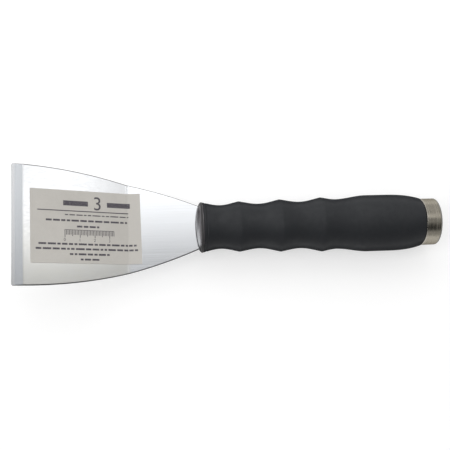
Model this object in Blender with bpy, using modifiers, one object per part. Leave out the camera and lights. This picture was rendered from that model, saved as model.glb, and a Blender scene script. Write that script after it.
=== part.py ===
"""A three inch bent pole scraper: a bevelled steel blade, a hard core under a ridged soft grip,
and a metal ferrule with the screw socket that takes an extension pole.

Metres. +X runs from the working edge to the butt, +Y across the blade, +Z up, with the labelled
face up and the tool lying on its grip. The pieces are drawn from the rim of the handle's flare,
on the handle's own axis: "along" is the distance behind that rim, towards the butt.
"""

import math

import bmesh
import bpy

# Fits
CLEARANCE = 0.0003  # between pieces that touch
OVERRUN = 0.002  # how far a cutter passes the face that it opens

# Blade
BLADE_WIDTH = 0.0762  # three inches at the working edge
BLADE_THICKNESS = 0.0018
FRONT_LENGTH = 0.0766  # from the bend line to the working edge
BEND_SETBACK = 0.0487  # from the bend line to the flare's rim
BEND_RADIUS = 0.005  # inside the bend
BEND_ANGLE = math.radians(23.3)
EDGE_STRAIGHT = 0.004  # the sides leave the working edge square
EDGE_CORNER_RADIUS = 0.001
EDGE_THICKNESS = 0.0004
HONE_LENGTH = 0.0022  # the narrow second bevel at the very edge
HONE_THICKNESS = 0.0008
BEVEL_LENGTH = 0.0073
SHOULDER_WIDTH = 0.0273
SHOULDER_DEPTH = 0.0003  # the shoulders seat this far behind the rim
TANG_WIDTH = 0.014
TANG_LENGTH = 0.094
TANG_END_RADIUS = 0.003

# Label on the blade
LABEL_LENGTH = 0.0735
LABEL_WIDTH = 0.0473
LABEL_SETBACK = 0.01125  # from the working edge
LABEL_OFFSET = -0.0005  # across the blade, from its middle
LABEL_THICKNESS = 0.0002
LABEL_GAP = 0.0001  # the adhesive

# Soft grip: widths lie across the blade, depths are up and down
GRIP_LENGTH = 0.1499  # from the rim to the ferrule
FLARE_WIDTH = 0.0337
FLARE_DEPTH = 0.0292
RIDGE_WIDTH = 0.0339  # at the first ridge; later ridges lie on a line to the swell
RIDGE_DEPTH = 0.0298
SWELL_WIDTH = 0.0384
SWELL_DEPTH = 0.0348
GRIP_END_DIAMETER = 0.0326
SCALLOP_DROP = 0.0023  # a finger hollow below its ridges, at the sides
LAST_SCALLOP_DROP = 0.0018
SCALLOP_DEPTH_SHARE = 0.6  # how much of that drop the top and bottom have
RIDGE_SHARES = (0.168, 0.353, 0.541)  # places along the grip
SWELL_SHARES = (0.747, 0.84)  # where the swell is full
HOLLOW_SHARE = 0.5  # lowest place between two ridges
LAST_HOLLOW_SHARE = 0.35
RIDGE_SHARPNESS_SHARE = 0.6  # 0 is a round wave, 1 a sharp crest
SHOULDER_POWER = 2.6  # how late the swell turns in to the ferrule

# Hard core under the grip
DOME_RISE = 0.0041  # the front face stands this far before the rim
RIM_LAND = 0.0005  # the rim's own thickness, in front of the soft lip
SPIGOT_WIDTH = 0.0292  # the step that the soft lip wraps
SPIGOT_DEPTH = 0.0243
SPIGOT_LENGTH = 0.002
NECK_WIDTH = 0.0232
NECK_DEPTH = 0.0204
NECK_TAPER = 0.004
CUP_DIAMETER = 0.0304  # the wider rear end, round the ferrule's stem
CUP_LENGTH = 0.038
CUP_TAPER = 0.012

# Ferrule, with the socket of a 3/4-5 Acme thread
FERRULE_DIAMETER = 0.0318
FERRULE_BAND = 0.011
FERRULE_ROUND = 0.0014  # rounded outer rim
FERRULE_CHAMFER = 0.0003
STEM_DIAMETER = 0.024
STEM_LENGTH = 0.0222
ANCHOR_DIAMETER = 0.013  # the stem's solid end, which the pin holds
ANCHOR_LENGTH = 0.012
THREAD_MAJOR_DIAMETER = 0.01905
THREAD_MINOR_DIAMETER = 0.01397
THREAD_PITCH = 0.00508
THREAD_FLANK = math.radians(14.5)
THREAD_ROOT_SHARE = 0.37  # flat at the groove's root, of the pitch
SOCKET_LENGTH = 0.028
THREAD_LENGTH = 0.0254
SOCKET_CHAMFER = 0.0008  # the mouth opens this far past the thread

# Pins
PIN_DIAMETER = 0.004
PIN_INSET = 0.0004  # each end, below the core's surface
PIN_CHAMFER = 0.0004
FRONT_PIN_SHARE = 0.24  # places along the tang
REAR_PIN_SHARE = 0.76

# Facets
ROUND_FACETS = 36
PIN_FACETS = 20
SCALLOP_STEPS = 8
SWELL_STEPS = 3
SHOULDER_STEPS = 6
DOME_STEPS = 6
BEND_STEPS = 6
SIDE_STEPS = 14
CORNER_STEPS = 3
THREAD_FACETS = 24

# Places worked out from the sizes
FERRULE_START = GRIP_LENGTH + CLEARANCE
FERRULE_END = FERRULE_START + FERRULE_BAND
STEM_START = FERRULE_START - STEM_LENGTH
ANCHOR_START = STEM_START - ANCHOR_LENGTH
BEND_MID_RADIUS = BEND_RADIUS + BLADE_THICKNESS / 2
TANG_END = SHOULDER_DEPTH + TANG_LENGTH


# Blade shape

def steel_point(forward, lift):
    """(along, up) of a point of the bent steel: forward is the distance from the bend line
    towards the working edge, measured in the steel, and lift the height above its middle."""
    half_arc = BEND_MID_RADIUS * BEND_ANGLE / 2
    tangent = BEND_MID_RADIUS * math.tan(BEND_ANGLE / 2)
    turn = min(max((forward + half_arc) / BEND_MID_RADIUS, 0.0), BEND_ANGLE)
    behind = min(forward + half_arc, 0.0)
    ahead = max(forward - half_arc, 0.0)
    reach = BEND_MID_RADIUS * math.sin(turn) - tangent + behind + ahead * math.cos(BEND_ANGLE)
    rise = BEND_MID_RADIUS * (1 - math.cos(turn)) + ahead * math.sin(BEND_ANGLE)
    return (
        -BEND_SETBACK - reach + lift * math.sin(turn),
        rise + lift * math.cos(turn),
    )


def bend_stations():
    """Distances from the bend line at which the bend is stepped."""
    half_arc = BEND_MID_RADIUS * BEND_ANGLE / 2
    return [half_arc * (2 * step / BEND_STEPS - 1) for step in range(BEND_STEPS + 1)]


def side_radius():
    """Radius of the long arc from the straight stretch at the edge to the shoulder."""
    run = FRONT_LENGTH - EDGE_STRAIGHT + BEND_SETBACK + SHOULDER_DEPTH
    drop = (BLADE_WIDTH - SHOULDER_WIDTH) / 2
    return (run * run + drop * drop) / (2 * drop)


def blade_half_width(forward):
    radius = side_radius()
    run = max(FRONT_LENGTH - EDGE_STRAIGHT - forward, 0.0)
    return BLADE_WIDTH / 2 - radius + math.sqrt(radius * radius - run * run)


def plan_place(forward):
    """Along the tool, of the lower face's point at this distance from the bend line."""
    return steel_point(forward, -BLADE_THICKNESS / 2)[0]


def blade_outline(grown):
    """Plan outline of the blade and tang, each edge moved out by grown."""
    shoulder = -BEND_SETBACK - SHOULDER_DEPTH
    side = []
    for step in range(CORNER_STEPS + 1):
        turn = math.pi / 2 * step / CORNER_STEPS
        forward = FRONT_LENGTH - EDGE_CORNER_RADIUS * (1 - math.cos(turn))
        inset = EDGE_CORNER_RADIUS * (1 - math.sin(turn))
        side.append((plan_place(forward), BLADE_WIDTH / 2 - inset))
    start = FRONT_LENGTH - EDGE_STRAIGHT
    for step in range(SIDE_STEPS + 1):
        forward = start + (shoulder - start) * step / SIDE_STEPS
        side.append((plan_place(forward), blade_half_width(forward)))
    side.append((SHOULDER_DEPTH, TANG_WIDTH / 2))
    for step in range(CORNER_STEPS + 1):
        turn = math.pi / 2 * step / CORNER_STEPS
        side.append(
            (
                TANG_END - TANG_END_RADIUS * (1 - math.sin(turn)),
                TANG_WIDTH / 2 - TANG_END_RADIUS * (1 - math.cos(turn)),
            )
        )
    near = [(along + (grown if along > 0 else 0.0), across + grown) for along, across in side]
    return near + [(along, -across) for along, across in reversed(near)]


def strip_outline(stations, low, high):
    """Side outline of a strip of the bent steel, from the height low(station) to high(station)."""
    upper = [steel_point(station, high(station)) for station in stations]
    lower = [steel_point(station, low(station)) for station in stations]
    return upper + lower[::-1]


def blade_top(forward):
    """Height of the blade's upper face above the middle of the steel, with both bevels."""
    bevel_start = FRONT_LENGTH - BEVEL_LENGTH
    hone_start = FRONT_LENGTH - HONE_LENGTH
    thickness = BLADE_THICKNESS
    if forward > hone_start:
        share = (forward - hone_start) / HONE_LENGTH
        thickness = HONE_THICKNESS + (EDGE_THICKNESS - HONE_THICKNESS) * share
    elif forward > bevel_start:
        share = (forward - bevel_start) / (BEVEL_LENGTH - HONE_LENGTH)
        thickness = BLADE_THICKNESS + (HONE_THICKNESS - BLADE_THICKNESS) * share
    return thickness - BLADE_THICKNESS / 2


# Handle shape

def scallops():
    """(start, lowest, end, drop) of each finger hollow, along the grip."""
    crests = [0.0] + [GRIP_LENGTH * share for share in RIDGE_SHARES]
    crests.append(GRIP_LENGTH * SWELL_SHARES[0])
    found = []
    for start, end in zip(crests[:-1], crests[1:]):
        last = end == crests[-1]
        share = LAST_HOLLOW_SHARE if last else HOLLOW_SHARE
        drop = LAST_SCALLOP_DROP if last else SCALLOP_DROP
        found.append((start, start + (end - start) * share, end, drop))
    return found


def scallop_drop(along):
    """How far the side of the grip lies below the line over its ridges."""
    hollows = scallops()
    for start, lowest, end, drop in hollows:
        if start <= along <= end:
            side = start if along < lowest else end
            share = (along - lowest) / (side - lowest)
            wave = (1 - math.cos(math.pi * share)) / 2
            into_swell = side == hollows[-1][2]
            sharp = 0.0 if into_swell else RIDGE_SHARPNESS_SHARE
            return drop * (1 - sharp * share * share - (1 - sharp) * wave)
    return 0.0


def crest_line(along, flare, ridge, swell):
    """The line over the ridges: straight from flare to first ridge, then to the swell."""
    first = GRIP_LENGTH * RIDGE_SHARES[0]
    full = GRIP_LENGTH * SWELL_SHARES[0]
    turn = GRIP_LENGTH * SWELL_SHARES[1]
    if along < first:
        return flare + (ridge - flare) * along / first
    if along < full:
        return ridge + (swell - ridge) * (along - first) / (full - first)
    if along < turn:
        return swell
    share = (along - turn) / (GRIP_LENGTH - turn)
    return swell - (swell - GRIP_END_DIAMETER) * share**SHOULDER_POWER


def grip_section(along):
    """(along, half width, half depth) of the grip's oval."""
    drop = scallop_drop(along)
    width = crest_line(along, FLARE_WIDTH, RIDGE_WIDTH, SWELL_WIDTH)
    depth = crest_line(along, FLARE_DEPTH, RIDGE_DEPTH, SWELL_DEPTH)
    return (along, width / 2 - drop, depth / 2 - drop * SCALLOP_DEPTH_SHARE)


def grip_stations():
    stations = [RIM_LAND + CLEARANCE]
    for start, _, end, _ in scallops():
        for step in range(SCALLOP_STEPS):
            stations.append(start + (end - start) * step / SCALLOP_STEPS)
    full = GRIP_LENGTH * SWELL_SHARES[0]
    turn = GRIP_LENGTH * SWELL_SHARES[1]
    for step in range(SWELL_STEPS):
        stations.append(full + (turn - full) * step / SWELL_STEPS)
    for step in range(SHOULDER_STEPS + 1):
        share = 1 - (1 - step / SHOULDER_STEPS) ** 2
        stations.append(turn + (GRIP_LENGTH - turn) * share)
    return [station for station in stations if station >= RIM_LAND + CLEARANCE]


def core_sections(grown):
    """The core's ovals behind its rim, each grown outwards, from the spigot to the butt end."""
    spigot_end = RIM_LAND + SPIGOT_LENGTH
    cup_start = GRIP_LENGTH - CUP_LENGTH
    sizes = [
        (RIM_LAND, SPIGOT_WIDTH, SPIGOT_DEPTH),
        (spigot_end, SPIGOT_WIDTH, SPIGOT_DEPTH),
        (spigot_end + NECK_TAPER, NECK_WIDTH, NECK_DEPTH),
        (cup_start - CUP_TAPER, NECK_WIDTH, NECK_DEPTH),
        (cup_start, CUP_DIAMETER, CUP_DIAMETER),
        (GRIP_LENGTH, CUP_DIAMETER, CUP_DIAMETER),
    ]
    return [(along, width / 2 + grown, depth / 2 + grown) for along, width, depth in sizes]


def dome_sections():
    """The core's front: half an ellipsoid, then the rim's land."""
    found = []
    for step in range(DOME_STEPS + 1):
        turn = math.pi / 2 * step / DOME_STEPS
        swing = math.sin(turn)
        found.append(
            (-DOME_RISE * math.cos(turn), FLARE_WIDTH / 2 * swing, FLARE_DEPTH / 2 * swing)
        )
    found.append((RIM_LAND, FLARE_WIDTH / 2, FLARE_DEPTH / 2))
    return found


def ferrule_profile():
    """(radius, along) of the ferrule, from the butt face down to the end of its anchor."""
    outer = FERRULE_DIAMETER / 2
    profile = [(0.0, FERRULE_END)]
    for step in range(CORNER_STEPS + 2):
        turn = math.pi / 2 * step / (CORNER_STEPS + 1)
        profile.append(
            (
                outer - FERRULE_ROUND * (1 - math.sin(turn)),
                FERRULE_END - FERRULE_ROUND * (1 - math.cos(turn)),
            )
        )
    profile += [
        (outer, FERRULE_START + FERRULE_CHAMFER),
        (outer - FERRULE_CHAMFER, FERRULE_START),
        (STEM_DIAMETER / 2, FERRULE_START),
        (STEM_DIAMETER / 2, STEM_START),
        (ANCHOR_DIAMETER / 2, STEM_START),
        (ANCHOR_DIAMETER / 2, ANCHOR_START),
        (0.0, ANCHOR_START),
    ]
    return profile


# Blender objects

def clear_scene():
    for obj in list(bpy.data.objects):
        bpy.data.objects.remove(obj, do_unlink=True)


def new_collection(name):
    collection = bpy.data.collections.new(name)
    bpy.context.scene.collection.children.link(collection)
    return collection


def new_material(name, color, metallic, roughness):
    material = bpy.data.materials.new(name)
    material.use_nodes = True
    shader = material.node_tree.nodes["Principled BSDF"]
    shader.inputs["Base Color"].default_value = (*color, 1.0)
    shader.inputs["Metallic"].default_value = metallic
    shader.inputs["Roughness"].default_value = roughness
    material.diffuse_color = (*color, 1.0)
    return material


def place(name, mesh, collection, parent, material=None):
    obj = bpy.data.objects.new(name, mesh)
    collection.objects.link(obj)
    obj.parent = parent
    if material:
        mesh.materials.append(material)
    else:
        obj.hide_render = True
        obj.display_type = "WIRE"
    return obj


def smooth(mesh):
    mesh.shade_smooth()
    mesh.set_sharp_from_angle(angle=math.radians(32))


def finish_mesh(name, builder):
    """A mesh from a BMesh, with its faces pointing out and its round faces smooth."""
    bmesh.ops.recalc_face_normals(builder, faces=builder.faces)
    mesh = bpy.data.meshes.new(name)
    builder.to_mesh(mesh)
    builder.free()
    smooth(mesh)
    return mesh


def oval_ring(builder, along, half_width, half_depth):
    """A ring of points whose flats touch the oval, one flat at the very bottom."""
    if half_width == 0:
        return [builder.verts.new((along, 0.0, 0.0))]
    spread = 1 / math.cos(math.pi / ROUND_FACETS)
    ring = []
    for facet in range(ROUND_FACETS):
        turn = 2 * math.pi * (facet + 0.5) / ROUND_FACETS
        across = half_width * spread * math.cos(turn)
        up = half_depth * spread * math.sin(turn)
        ring.append(builder.verts.new((along, across, up)))
    return ring


def lofted_mesh(name, sections):
    """A closed body through ovals given as (along, half width, half depth)."""
    builder = bmesh.new()
    rings = [oval_ring(builder, *section) for section in sections]
    for near, far in zip(rings[:-1], rings[1:]):
        for index in range(ROUND_FACETS):
            after = (index + 1) % ROUND_FACETS
            if len(near) == 1:
                builder.faces.new((near[0], far[index], far[after]))
            else:
                builder.faces.new((near[index], far[index], far[after], near[after]))
    for ring in (rings[0], rings[-1]):
        if len(ring) > 1:
            builder.faces.new(ring)
    return finish_mesh(name, builder)


def plate_mesh(name, outline, half_thickness):
    """A flat plate: a filled curve in the XY plane, extruded both ways and made a mesh."""
    curve = bpy.data.curves.new(name + "_outline", "CURVE")
    curve.dimensions = "2D"
    curve.fill_mode = "BOTH"
    curve.extrude = half_thickness
    spline = curve.splines.new("POLY")
    spline.points.add(len(outline) - 1)
    for point, (across, up) in zip(spline.points, outline):
        point.co = (across, up, 0.0, 1.0)
    spline.use_cyclic_u = True
    drawn = bpy.data.objects.new(name + "_outline", curve)
    bpy.context.scene.collection.objects.link(drawn)
    graph = bpy.context.evaluated_depsgraph_get()
    mesh = bpy.data.meshes.new_from_object(drawn.evaluated_get(graph))
    bpy.data.objects.remove(drawn, do_unlink=True)
    builder = bmesh.new()
    builder.from_mesh(mesh)
    bmesh.ops.remove_doubles(builder, verts=builder.verts, dist=CLEARANCE / 100)
    bpy.data.meshes.remove(mesh)
    return finish_mesh(name, builder)


def cylinder_mesh(name, radius, length, facets, end_radius=None):
    """A cylinder or cone centred on its Z axis."""
    builder = bmesh.new()
    bmesh.ops.create_cone(
        builder,
        cap_ends=True,
        segments=facets,
        radius1=radius,
        radius2=radius if end_radius is None else end_radius,
        depth=length,
    )
    return finish_mesh(name, builder)


def profile_mesh(name, profile, closed):
    """Points (radius, height) in the XZ plane, joined in order by edges."""
    builder = bmesh.new()
    points = [builder.verts.new((radius, 0.0, height)) for radius, height in profile]
    ends = points[1:] + points[:1] if closed else points[1:]
    for near, far in zip(points, ends):
        builder.edges.new((near, far))
    mesh = bpy.data.meshes.new(name)
    builder.to_mesh(mesh)
    builder.free()
    return mesh


def turn_profile(obj, facets):
    modifier = obj.modifiers.new("Turn", "SCREW")
    modifier.steps = facets
    modifier.render_steps = facets
    modifier.use_merge_vertices = True
    modifier.merge_threshold = CLEARANCE / 100
    modifier.use_smooth_shade = True


def cut(target, cutter, title):
    modifier = target.modifiers.new(title, "BOOLEAN")
    modifier.operation = "DIFFERENCE"
    modifier.object = cutter


def keep_common(target, other, title):
    modifier = target.modifiers.new(title, "BOOLEAN")
    modifier.operation = "INTERSECT"
    modifier.object = other


# Pieces

def make_blade(parts, cutters, axis, steel):
    """The side outline of the bent plate, kept only inside its plan outline, which trims
    the working edge."""
    stations = [-BEND_SETBACK - TANG_END - CLEARANCE] + bend_stations()
    stations += [
        FRONT_LENGTH - BEVEL_LENGTH,
        FRONT_LENGTH - HONE_LENGTH,
        FRONT_LENGTH + CLEARANCE,
    ]
    side = strip_outline(stations, lambda station: -BLADE_THICKNESS / 2, blade_top)
    blade = place("blade", plate_mesh("blade", side, BLADE_WIDTH / 2 + OVERRUN), parts, axis, steel)
    blade.rotation_euler = (math.pi / 2, 0.0, 0.0)
    height = FRONT_LENGTH * math.sin(BEND_ANGLE) + BLADE_THICKNESS + OVERRUN
    plan = place("blade_plan", plate_mesh("blade_plan", blade_outline(0.0), height), cutters, axis)
    keep_common(blade, plan, "Plan")
    for share, title in ((FRONT_PIN_SHARE, "Front hole"), (REAR_PIN_SHARE, "Rear hole")):
        cut(blade, pin_hole(title, tang_place(share), cutters, axis), title)
    return blade


def make_label(parts, axis, paper):
    """A sticker that follows the part of the bend that it covers."""
    front = FRONT_LENGTH - LABEL_SETBACK
    rear = front - LABEL_LENGTH
    stations = [rear] + [station for station in bend_stations() if rear < station < front] + [front]
    low = BLADE_THICKNESS / 2 + LABEL_GAP
    high = low + LABEL_THICKNESS
    side = strip_outline(stations, lambda station: low, lambda station: high)
    solid = plate_mesh("blade_label", side, LABEL_WIDTH / 2)
    label = place("blade_label", solid, parts, axis, paper)
    label.rotation_euler = (math.pi / 2, 0.0, 0.0)
    label.location = (0.0, LABEL_OFFSET, 0.0)
    return label


def tang_place(share):
    return SHOULDER_DEPTH + TANG_LENGTH * share


def pin_hole(title, along, cutters, axis):
    radius = PIN_DIAMETER / 2 + CLEARANCE
    length = CUP_DIAMETER + OVERRUN
    mesh = cylinder_mesh(title, radius, length, PIN_FACETS)
    hole = place(title.lower().replace(" ", "_"), mesh, cutters, axis)
    hole.location = (along, 0.0, 0.0)
    return hole


def make_pin(name, along, core_depth, parts, axis, steel):
    """A headless pin with chamfered ends, square through the core."""
    radius = PIN_DIAMETER / 2
    half = core_depth / 2 - PIN_INSET
    profile = [
        (0.0, half),
        (radius - PIN_CHAMFER, half),
        (radius, half - PIN_CHAMFER),
        (radius, PIN_CHAMFER - half),
        (radius - PIN_CHAMFER, -half),
        (0.0, -half),
    ]
    pin = place(name, profile_mesh(name, profile, False), parts, axis, steel)
    turn_profile(pin, PIN_FACETS)
    pin.location = (along, 0.0, 0.0)
    return pin


def make_core(parts, cutters, axis, plastic):
    """The moulded core, with the tang's slot, the pins' holes and the ferrule's socket."""
    solid = lofted_mesh("handle_core", dome_sections() + core_sections(0.0))
    core = place("handle_core", solid, parts, axis, plastic)
    slot_mesh = plate_mesh("tang_slot", blade_outline(CLEARANCE), BLADE_THICKNESS / 2 + CLEARANCE)
    cut(core, place("tang_slot", slot_mesh, cutters, axis), "Slot")
    for share, title in ((FRONT_PIN_SHARE, "Core front hole"), (REAR_PIN_SHARE, "Core rear hole")):
        cut(core, pin_hole(title, tang_place(share), cutters, axis), title)
    for title, diameter, start in (
        ("Stem socket", STEM_DIAMETER, STEM_START),
        ("Anchor socket", ANCHOR_DIAMETER, ANCHOR_START),
    ):
        length = GRIP_LENGTH + OVERRUN - start + CLEARANCE
        mesh = cylinder_mesh(title, diameter / 2 + CLEARANCE, length, ROUND_FACETS)
        socket = place(title.lower().replace(" ", "_"), mesh, cutters, axis)
        socket.rotation_euler = (0.0, math.pi / 2, 0.0)
        socket.location = (start - CLEARANCE + length / 2, 0.0, 0.0)
        cut(core, socket, title)
    anchor = (ANCHOR_START + STEM_START) / 2
    cut(core, pin_hole("Core anchor hole", anchor, cutters, axis), "Anchor hole")
    return core


def make_grip(parts, cutters, axis, rubber):
    """The soft sleeve: its ridged outside, less the space of the core."""
    outside = [grip_section(station) for station in grip_stations()]
    grip = place("soft_grip", lofted_mesh("soft_grip", outside), parts, axis, rubber)
    inside = core_sections(CLEARANCE)
    end = inside[-1]
    inside.append((end[0] + OVERRUN, end[1], end[2]))
    space = place("core_space", lofted_mesh("core_space", inside), cutters, axis)
    cut(grip, space, "Core space")
    return grip


def thread_cutter_mesh():
    """A groove of the thread's form, wound as a helix and closed at both ends."""
    root = THREAD_PITCH * THREAD_ROOT_SHARE / 2
    inner = THREAD_MINOR_DIAMETER / 2 - CLEARANCE
    outer = THREAD_MAJOR_DIAMETER / 2
    mouth = root + (outer - inner) * math.tan(THREAD_FLANK)
    profile = [(inner, mouth), (outer, root), (outer, -root), (inner, -mouth)]
    wound = bpy.data.objects.new("winding", profile_mesh("winding", profile, True))
    bpy.context.scene.collection.objects.link(wound)
    modifier = wound.modifiers.new("Wind", "SCREW")
    modifier.steps = THREAD_FACETS
    modifier.render_steps = THREAD_FACETS
    modifier.iterations = math.ceil((THREAD_LENGTH + THREAD_PITCH) / THREAD_PITCH)
    modifier.screw_offset = THREAD_PITCH
    graph = bpy.context.evaluated_depsgraph_get()
    mesh = bpy.data.meshes.new_from_object(wound.evaluated_get(graph))
    bpy.data.objects.remove(wound, do_unlink=True)
    builder = bmesh.new()
    builder.from_mesh(mesh)
    bpy.data.meshes.remove(mesh)
    rims = [edge for edge in builder.edges if edge.is_boundary]
    bmesh.ops.holes_fill(builder, edges=rims, sides=len(profile))
    return finish_mesh("thread", builder)


def make_ferrule(parts, cutters, axis, nickel):
    """The turned ferrule, with its bore, thread and mouth chamfer, and the pin's hole."""
    solid = profile_mesh("end_ferrule", ferrule_profile(), False)
    ferrule = place("end_ferrule", solid, parts, axis, nickel)
    ferrule.rotation_euler = (0.0, math.pi / 2, 0.0)
    turn_profile(ferrule, ROUND_FACETS)
    minor = THREAD_MINOR_DIAMETER / 2
    wide = THREAD_MAJOR_DIAMETER / 2 + SOCKET_CHAMFER
    length = SOCKET_LENGTH + OVERRUN
    bore = place("bore", cylinder_mesh("bore", minor, length, ROUND_FACETS), cutters, axis)
    bore.location = (FERRULE_END - SOCKET_LENGTH + length / 2, 0.0, 0.0)
    taper = wide - minor + OVERRUN
    cone_mesh = cylinder_mesh("mouth", minor, taper, ROUND_FACETS, wide + OVERRUN)
    mouth = place("mouth", cone_mesh, cutters, axis)
    mouth.location = (FERRULE_END + OVERRUN - taper / 2, 0.0, 0.0)
    thread = place("thread", thread_cutter_mesh(), cutters, axis)
    thread.location = (FERRULE_END - THREAD_LENGTH, 0.0, 0.0)
    for cutter, title in ((bore, "Bore"), (mouth, "Mouth"), (thread, "Thread")):
        cutter.rotation_euler = (0.0, math.pi / 2, 0.0)
        cut(ferrule, cutter, title)
    anchor = (ANCHOR_START + STEM_START) / 2
    cut(ferrule, pin_hole("Anchor hole", anchor, cutters, axis), "Anchor hole")
    return ferrule


def make_axis():
    """The empty on the handle's axis at the flare's rim. It puts the origin under the middle
    of the tool's length, on the surface that the grip's swell rests on."""
    front = plan_place(FRONT_LENGTH)
    axis = bpy.data.objects.new("handle_axis", None)
    bpy.context.scene.collection.objects.link(axis)
    axis.location = (-(front + FERRULE_END) / 2, 0.0, SWELL_DEPTH / 2)
    bpy.context.view_layer.update()
    return axis


def main():
    clear_scene()
    parts = new_collection("pole_scraper")
    cutters = new_collection("cutters")
    cutters.hide_render = True
    axis = make_axis()
    steel = new_material("blade_steel", (0.62, 0.63, 0.64), 1.0, 0.3)
    paper = new_material("label_paper", (0.5, 0.49, 0.45), 0.0, 0.55)
    plastic = new_material("core_plastic", (0.05, 0.05, 0.055), 0.0, 0.25)
    rubber = new_material("grip_rubber", (0.02, 0.021, 0.023), 0.0, 0.6)
    nickel = new_material("ferrule_nickel", (0.42, 0.4, 0.35), 1.0, 0.35)
    make_blade(parts, cutters, axis, steel)
    make_label(parts, axis, paper)
    make_core(parts, cutters, axis, plastic)
    make_grip(parts, cutters, axis, rubber)
    make_ferrule(parts, cutters, axis, nickel)
    make_pin("tang_pin_front", tang_place(FRONT_PIN_SHARE), NECK_DEPTH, parts, axis, steel)
    make_pin("tang_pin_rear", tang_place(REAR_PIN_SHARE), NECK_DEPTH, parts, axis, steel)
    anchor = (ANCHOR_START + STEM_START) / 2
    make_pin("ferrule_pin", anchor, CUP_DIAMETER, parts, axis, steel)


main()
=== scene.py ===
import math

import bmesh
import bpy
import numpy as np
from mathutils import Matrix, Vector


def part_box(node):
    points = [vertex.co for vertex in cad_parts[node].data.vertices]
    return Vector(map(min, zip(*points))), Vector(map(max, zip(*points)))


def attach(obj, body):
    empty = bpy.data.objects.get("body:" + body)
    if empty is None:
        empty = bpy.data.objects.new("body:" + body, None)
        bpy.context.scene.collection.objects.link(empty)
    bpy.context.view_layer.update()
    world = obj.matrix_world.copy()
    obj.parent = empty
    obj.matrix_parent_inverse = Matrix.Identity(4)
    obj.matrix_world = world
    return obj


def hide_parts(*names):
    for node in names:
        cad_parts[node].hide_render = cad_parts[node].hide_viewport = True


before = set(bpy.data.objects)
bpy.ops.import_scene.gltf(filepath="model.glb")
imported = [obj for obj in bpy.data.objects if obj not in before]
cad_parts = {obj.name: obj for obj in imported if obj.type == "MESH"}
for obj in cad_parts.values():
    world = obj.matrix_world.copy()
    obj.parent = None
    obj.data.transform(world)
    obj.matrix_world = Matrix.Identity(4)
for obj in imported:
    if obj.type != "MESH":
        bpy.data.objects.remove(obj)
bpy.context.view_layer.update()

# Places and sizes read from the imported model. +X runs from the working edge to the butt,
# "along" is the distance behind the rim of the handle's flare, "across" lies along Y.
domeRise = 0.0041  # the core's front stands this far before the rim
fitGap = 0.0003  # between pieces that touch
hairShare = 0.01  # of a gap or a crease, which keeps two rings from falling together
sameStation = 1e-9  # stations closer than this are one
bladeLow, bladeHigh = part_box("blade")
gripLow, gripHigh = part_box("soft_grip")
ferruleLow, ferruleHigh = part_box("end_ferrule")
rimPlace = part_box("handle_core")[0].x + domeRise
axisHeight = (ferruleLow.z + ferruleHigh.z) / 2
gripLength = gripHigh.x - rimPlace
print("scene: packed model loaded")


# Meshes from grids of points

def gridMesh(name, rings, endless=False, marks=None):
    # rings[stack, ring, point] holds places. Each ring is closed and joined to the next one. Fans
    # close a stack's ends, unless it is endless and its last ring joins its first. Marks, one
    # number for each place in a ring, are kept as "ringMark" for the material.
    if rings.ndim == 3:
        rings = rings[None]
    stackCount, ringCount, pointCount = rings.shape[:3]
    number = np.arange(stackCount * ringCount * pointCount).reshape(rings.shape[:3])
    near = number if endless else number[:, :-1]
    far = np.roll(number, -1, axis=1) if endless else number[:, 1:]
    nextNear, nextFar = np.roll(near, -1, axis=2), np.roll(far, -1, axis=2)
    quads = np.stack([near, nextNear, nextFar, far], axis=-1).reshape(-1, 4)
    points = rings.reshape(-1, 3)
    fans = np.empty((0, 3), int)
    if not endless:
        middles = rings[:, [0, -1]].mean(axis=2).reshape(-1, 3)
        hub = len(points) + np.arange(2 * stackCount).reshape(stackCount, 2, 1)
        first, last = number[:, 0], number[:, -1]
        firstHub = np.broadcast_to(hub[:, 0], first.shape)
        lastHub = np.broadcast_to(hub[:, 1], last.shape)
        fans = np.concatenate([
            np.stack([firstHub, np.roll(first, -1, axis=1), first], axis=-1).reshape(-1, 3),
            np.stack([lastHub, last, np.roll(last, -1, axis=1)], axis=-1).reshape(-1, 3),
        ])
        points = np.concatenate([points, middles])
    # Six times the enclosed volume; where it is negative the faces point inwards and are turned
    corners = np.concatenate([quads[:, [0, 1, 2]], quads[:, [0, 2, 3]], fans])
    a, b, c = (points[corners[:, index]] for index in range(3))
    if np.einsum("ij,ij->i", a, np.cross(b, c)).sum() < 0:
        quads, fans = quads[:, ::-1], fans[:, ::-1]
    mesh = bpy.data.meshes.new(name)
    mesh.from_pydata(points.tolist(), [], quads.tolist() + fans.tolist())
    if marks is not None:
        kept = np.zeros(len(points), np.float32)
        kept[:number.size] = np.tile(marks, number.size // pointCount)
        mesh.attributes.new("ringMark", "FLOAT", "POINT").data.foreach_set("value", kept)
    mesh.update()
    return mesh


def smoothSteps(marks, spacing):
    # Stations through every mark, with steps no longer than the spacing given for each stretch
    runs = []
    for start, end, step in zip(marks[:-1], marks[1:], spacing):
        runs.append(np.linspace(start, end, max(2, math.ceil(abs(end - start) / step) + 1)))
    stations = np.concatenate(runs)
    return stations[np.concatenate([[True], np.abs(np.diff(stations)) > sameStation])]


def roundTurns(pointCount):
    # Angles of the points of a ring, from +Y over +Z
    return 2 * np.pi * np.arange(pointCount) / pointCount


def ovalRings(along, halfWidth, halfDepth, pointCount):
    # Ovals square to the handle's axis: across = half width * cos, up = half depth * sin. The
    # halves are one number for each ring, or one for each point.
    turn = roundTurns(pointCount)
    across, up = (half.reshape(len(along), -1) * wave(turn)
                  for half, wave in ((halfWidth, np.cos), (halfDepth, np.sin)))
    place = np.broadcast_to((rimPlace + along)[:, None], across.shape)
    return np.stack([place, across, axisHeight + up], axis=-1)


def turnedRings(profile, pointCount):
    # Circles round the handle's axis from rows of (along, radius)
    profile = np.array(profile)
    return ovalRings(profile[:, 0], profile[:, 1], profile[:, 1], pointCount)


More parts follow.
